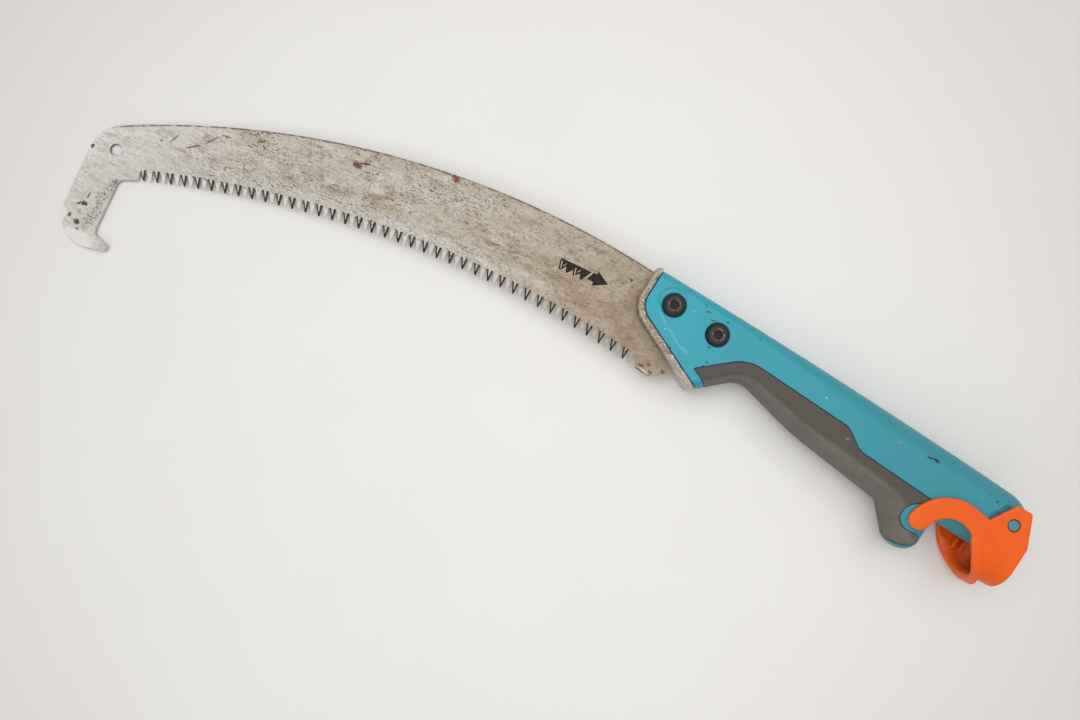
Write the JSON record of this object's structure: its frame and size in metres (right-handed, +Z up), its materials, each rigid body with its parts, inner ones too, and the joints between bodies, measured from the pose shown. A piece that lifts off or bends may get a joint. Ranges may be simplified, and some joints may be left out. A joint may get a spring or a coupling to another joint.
{
  "type": "pruning saw",
  "caption": "Curved pull-cut pruning saw with a hooked blade tip, metal bolster, moulded handle with soft grips, and a hinged lever at the handle's rear socket.",
  "frame": {"origin": "middle of the outline's box, on the plane the saw lies on", "axes": "+X towards the handle's rear, +Y towards the saw's back, +Z up from the right side to the left side"},
  "size_m": [0.5634, 0.1682, 0.042],
  "materials": {
    "stained_steel": "stained, with grey and brown specks",
    "worn_casting": "cast, worn",
    "teal_plastic": "satin",
    "grey_rubber": "matt",
    "black_steel": "blackened, worn at the sockets",
    "zinc_steel": "zinc plated",
    "orange_plastic": "satin gloss"
  },
  "bodies": {
    "saw_body": {"blade": "stained_steel", "bolster": "worn_casting", "left_shell": "teal_plastic", "right_shell": "teal_plastic", "left_grip": "grey_rubber", "right_grip": "grey_rubber", "front_blade_bolt": "black_steel", "rear_blade_bolt": "black_steel", "front_blade_nut": "zinc_steel", "rear_blade_nut": "zinc_steel", "shell_screw_1": "zinc_steel", "shell_screw_2": "zinc_steel", "shell_screw_3": "zinc_steel"},
    "lever": {"locking_lever": "orange_plastic"}
  },
  "joints": [
    {"name": "lever_pivot", "type": "hinge", "parent": "saw_body", "child": "lever", "pos_m": [0.26889, 0.06475, 0.021], "axis": [0, 0, 1], "range_deg": [0, 35]}
  ]
}
